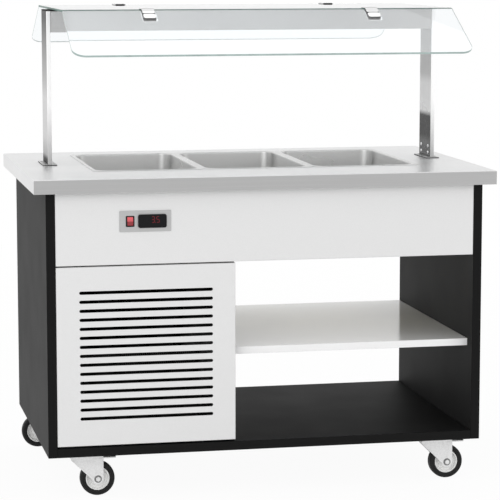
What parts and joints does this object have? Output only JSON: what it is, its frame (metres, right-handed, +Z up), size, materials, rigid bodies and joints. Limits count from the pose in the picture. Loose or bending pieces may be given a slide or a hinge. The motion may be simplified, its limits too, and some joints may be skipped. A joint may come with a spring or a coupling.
{
  "type": "mobile salad bar",
  "caption": "Refrigerated salad bar on swivel casters with gastronorm pans in a steel worktop, a sloped glass guard on flat posts, a shelf bay and a louvred machine bay.",
  "frame": {"origin": "on the floor under the middle of the guard's depth and of the worktop's length, the bottom centre of the overall box", "axes": "+X to the right along the worktop, +Y to the back, +Z up; the control plate faces -Y"},
  "size_m": [1.34, 1.0348, 1.387],
  "materials": {
    "board_black": "satin black laminate on board",
    "board_light": "satin light grey laminate on board",
    "panel_light": "fine satin off-white on folded sheet",
    "steel_brushed": "fine brushed stainless steel",
    "plastic_black": "satin black plastic",
    "plastic_black_gloss": "glossy black display face",
    "plastic_red": "translucent red rocker",
    "plastic_white": "frosted white diffuser",
    "plastic_grey": "moulded grey wheel centre",
    "foam": "rigid insulating foam",
    "copper": "bare copper tube",
    "rubber_black": "matt black pad",
    "tyre_dark": "matt dark grey tread",
    "glass_clear": "clear toughened glass with teal edges",
    "chrome": "polished clamp",
    "enamel_black": "black enamelled steel",
    "aluminium": "mill finish",
    "zinc_steel": "bright zinc plated pressing"
  },
  "bodies": {
    "cabinet": {"left_side_panel": "board_black", "right_side_panel": "board_black", "bottom_panel": "board_black", "divider_panel": "board_black", "shelf": "board_light", "front_louvre_panel": "panel_light", "rear_louvre_panel": "panel_light", "front_apron": "panel_light", "rear_apron": "panel_light", "control_plate": "steel_brushed", "switch_bezel": "plastic_black", "thermostat": "plastic_black_gloss", "power_inlet": "plastic_black", "worktop": "steel_brushed", "well_tub": "steel_brushed", "well_insulation": "foam", "evaporator_coil": "copper", "pan_bar_left": "steel_brushed", "pan_bar_right": "steel_brushed", "guard_post_left": "steel_brushed", "post_foot_left": "steel_brushed", "glass_seat_left": "rubber_black", "guard_post_right": "steel_brushed", "post_foot_right": "steel_brushed", "glass_seat_right": "rubber_black", "light_beam": "steel_brushed", "light_diffuser": "plastic_white", "glass_top": "glass_clear", "glass_front": "glass_clear", "glass_rear": "glass_clear", "clamp_front_left": "chrome", "clamp_front_right": "chrome", "clamp_rear_left": "chrome", "clamp_rear_right": "chrome", "compressor": "enamel_black", "condenser": "aluminium", "fan_motor": "enamel_black", "caster_plate_front_left": "zinc_steel", "caster_plate_front_right": "zinc_steel", "caster_plate_rear_left": "zinc_steel", "caster_plate_rear_right": "zinc_steel"},
    "rocker": {"switch_rocker": "plastic_red"},
    "lift_pan_left": {"pan_left": "steel_brushed"},
    "lift_pan_middle": {"pan_middle": "steel_brushed"},
    "lift_pan_right": {"pan_right": "steel_brushed"},
    "fan": {"fan_blade": "aluminium"},
    "swivel_front_left": {"caster_fork_front_left": "zinc_steel"},
    "swivel_front_right": {"caster_fork_front_right": "zinc_steel"},
    "swivel_rear_left": {"caster_fork_rear_left": "zinc_steel"},
    "swivel_rear_right": {"caster_fork_rear_right": "zinc_steel"},
    "wheel_front_left": {"wheel_rim_front_left": "plastic_grey", "wheel_tyre_front_left": "tyre_dark"},
    "wheel_front_right": {"wheel_rim_front_right": "plastic_grey", "wheel_tyre_front_right": "tyre_dark"},
    "wheel_rear_left": {"wheel_rim_rear_left": "plastic_grey", "wheel_tyre_rear_left": "tyre_dark"},
    "wheel_rear_right": {"wheel_rim_rear_right": "plastic_grey", "wheel_tyre_rear_right": "tyre_dark"},
    "pedal_front_left": {"brake_pedal_front_left": "plastic_black"},
    "pedal_front_right": {"brake_pedal_front_right": "plastic_black"}
  },
  "joints": [
    {"name": "switch_press", "type": "hinge", "parent": "cabinet", "child": "rocker", "pos_m": [-0.39775, -0.4496, 0.7965], "axis": [1, 0, 0], "range_deg": [0, 12]},
    {"name": "pan_left_lift", "type": "slide", "parent": "cabinet", "child": "lift_pan_left", "axis": [0, 0, 1], "range_m": [0, 0.17]},
    {"name": "pan_middle_lift", "type": "slide", "parent": "cabinet", "child": "lift_pan_middle", "axis": [0, 0, 1], "range_m": [0, 0.17]},
    {"name": "pan_right_lift", "type": "slide", "parent": "cabinet", "child": "lift_pan_right", "axis": [0, 0, 1], "range_m": [0, 0.17]},
    {"name": "fan_spin", "type": "hinge", "parent": "cabinet", "child": "fan", "pos_m": [-0.3612, -0.339, 0.2886], "axis": [0, 1, 0], "continuous": true},
    {"name": "swivel_front_left", "type": "hinge", "parent": "cabinet", "child": "swivel_front_left", "pos_m": [-0.52, -0.381, 0.12], "axis": [0, 0, 1], "continuous": true},
    {"name": "swivel_front_right", "type": "hinge", "parent": "cabinet", "child": "swivel_front_right", "pos_m": [0.52, -0.381, 0.12], "axis": [0, 0, 1], "continuous": true},
    {"name": "swivel_rear_left", "type": "hinge", "parent": "cabinet", "child": "swivel_rear_left", "pos_m": [-0.551, 0.281, 0.12], "axis": [0, 0, 1], "continuous": true},
    {"name": "swivel_rear_right", "type": "hinge", "parent": "cabinet", "child": "swivel_rear_right", "pos_m": [0.551, 0.281, 0.12], "axis": [0, 0, 1], "continuous": true},
    {"name": "wheel_front_left_spin", "type": "hinge", "parent": "swivel_front_left", "child": "wheel_front_left", "pos_m": [-0.488, -0.381, 0.05], "axis": [0, 1, 0], "continuous": true},
    {"name": "wheel_front_right_spin", "type": "hinge", "parent": "swivel_front_right", "child": "wheel_front_right", "pos_m": [0.552, -0.381, 0.05], "axis": [0, 1, 0], "continuous": true},
    {"name": "wheel_rear_left_spin", "type": "hinge", "parent": "swivel_rear_left", "child": "wheel_rear_left", "pos_m": [-0.583, 0.281, 0.05], "axis": [0, 1, 0], "continuous": true},
    {"name": "wheel_rear_right_spin", "type": "hinge", "parent": "swivel_rear_right", "child": "wheel_rear_right", "pos_m": [0.519, 0.281, 0.05], "axis": [0, 1, 0], "continuous": true},
    {"name": "brake_front_left", "type": "hinge", "parent": "swivel_front_left", "child": "pedal_front_left", "pos_m": [-0.48, -0.381, 0.1074], "axis": [0, 1, 0], "range_deg": [0, 10]},
    {"name": "brake_front_right", "type": "hinge", "parent": "swivel_front_right", "child": "pedal_front_right", "pos_m": [0.56, -0.381, 0.1074], "axis": [0, 1, 0], "range_deg": [0, 10]}
  ]
}
